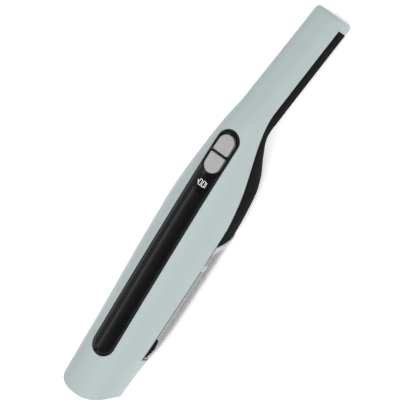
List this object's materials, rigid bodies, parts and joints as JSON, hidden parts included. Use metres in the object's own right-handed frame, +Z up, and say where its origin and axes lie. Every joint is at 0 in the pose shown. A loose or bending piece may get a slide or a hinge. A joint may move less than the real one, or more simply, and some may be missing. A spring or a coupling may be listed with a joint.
{
  "type": "cordless handheld vacuum cleaner",
  "caption": "Slim cordless handheld vacuum cleaner with a slanted mouth, clear dust cup under the body, glossy control strip, press keys and a drooping handle.",
  "frame": {"origin": "centre of the bounding box in plan, at the height of the belly and handle end that it rests on", "axes": "+X from the mouth to the handle end, +Z up through the keys, +Y across the body"},
  "size_m": [0.4304, 0.068, 0.0782],
  "materials": {
    "sage_shell": "fine satin moulded ABS, sage grey-green",
    "black_shell": "satin black moulded ABS",
    "clear_cup": "clear polished polycarbonate",
    "gloss_panel": "piano black",
    "smoked_window": "smoked lens, flush in the strip",
    "silver_key": "silver painted, fine grain",
    "rubber": "black moulded silicone",
    "inner_plastic": "dark grey moulded",
    "steel": "zinc plated",
    "spring_steel": "spring wire",
    "mesh_steel": "fine woven mesh",
    "filter_paper": "pleated filter paper",
    "fan_metal": "machined",
    "magnet": "nickel plated magnet",
    "motor_can": "dark anodised",
    "lamination": "stacked laminations",
    "copper_wire": "enamelled copper",
    "foam": "open-cell foam",
    "circuit_board": "green solder mask",
    "cell_wrap": "shrink-wrapped can",
    "nickel": "nickel strip",
    "socket_metal": "plated steel shell",
    "wire_red": "silicone insulation",
    "wire_black": "silicone insulation",
    "wire_yellow": "silicone insulation",
    "ribbon_cable": "flat flexible cable"
  },
  "bodies": {
    "housing": {"upper_shell": "sage_shell", "motor_shell": "black_shell", "battery_cover": "black_shell", "cup_seal": "rubber", "control_panel": "gloss_panel", "display_window": "smoked_window", "control_board": "circuit_board", "display_module": "inner_plastic", "power_switch": "inner_plastic", "mode_switch": "inner_plastic", "inlet_duct": "inner_plastic", "flap_pin": "steel", "chamber_deck": "inner_plastic", "filter_bulkhead": "inner_plastic", "fan_shroud": "inner_plastic", "motor_housing": "motor_can", "front_bearing": "steel", "rear_bearing": "steel", "stator_core": "lamination", "stator_windings": "copper_wire", "front_motor_mount": "rubber", "rear_motor_mount": "rubber", "exhaust_foam_left": "foam", "exhaust_foam_right": "foam", "driver_board": "circuit_board", "battery_cell_front": "cell_wrap", "battery_cell_rear": "cell_wrap", "battery_cradle": "inner_plastic", "contact_front": "nickel", "contact_middle": "nickel", "contact_rear": "nickel", "battery_board": "circuit_board", "charge_socket": "socket_metal", "battery_lead_red": "wire_red", "battery_lead_black": "wire_black", "motor_leads": "wire_yellow", "panel_ribbon": "ribbon_cable", "shell_screw_left": "steel", "shell_screw_right": "steel", "cover_screw_front_left": "steel", "cover_screw_front_right": "steel", "cover_screw_rear_left": "steel", "cover_screw_rear_right": "steel"},
    "dust_cup": {"dust_cup": "clear_cup", "latch_spring_left": "spring_steel", "latch_spring_right": "spring_steel"},
    "latch_left": {"latch_button_left": "black_shell"},
    "latch_right": {"latch_button_right": "black_shell"},
    "filter": {"filter_seal": "rubber", "filter_frame": "inner_plastic", "filter_mesh": "mesh_steel", "hepa_filter": "filter_paper"},
    "flap": {"inlet_flap": "rubber"},
    "rotor": {"impeller": "fan_metal", "motor_shaft": "steel", "rotor_magnet": "magnet"},
    "power_button": {"power_button": "silver_key"},
    "mode_button": {"mode_button": "silver_key"}
  },
  "joints": [
    {"name": "cup_release", "type": "slide", "parent": "housing", "child": "dust_cup", "axis": [0, 0, -1], "range_m": [0, 0.06]},
    {"name": "latch_left_squeeze", "type": "slide", "parent": "dust_cup", "child": "latch_left", "axis": [0, 1, 0], "range_m": [0, 0.002], "stiffness_N_per_m": 500, "deforming": ["latch_spring_left"]},
    {"name": "latch_right_squeeze", "type": "slide", "parent": "dust_cup", "child": "latch_right", "axis": [0, -1, 0], "range_m": [0, 0.002], "stiffness_N_per_m": 500, "deforming": ["latch_spring_right"]},
    {"name": "filter_pull", "type": "slide", "parent": "housing", "child": "filter", "axis": [-1, 0, 0], "range_m": [0, 0.025]},
    {"name": "flap_swing", "type": "hinge", "parent": "housing", "child": "flap", "pos_m": [-0.15819, 0, 0.0616], "axis": [0, -1, 0], "range_deg": [0, 55]},
    {"name": "rotor_spin", "type": "hinge", "parent": "housing", "child": "rotor", "pos_m": [0.00541, 0, 0.038], "axis": [1, 0, 0], "continuous": true},
    {"name": "power_button_press", "type": "slide", "parent": "housing", "child": "power_button", "axis": [0, 0, -1], "range_m": [0, 0.0008], "stiffness_N_per_m": 1000},
    {"name": "mode_button_press", "type": "slide", "parent": "housing", "child": "mode_button", "axis": [0, 0, -1], "range_m": [0, 0.0008], "stiffness_N_per_m": 1000}
  ]
}
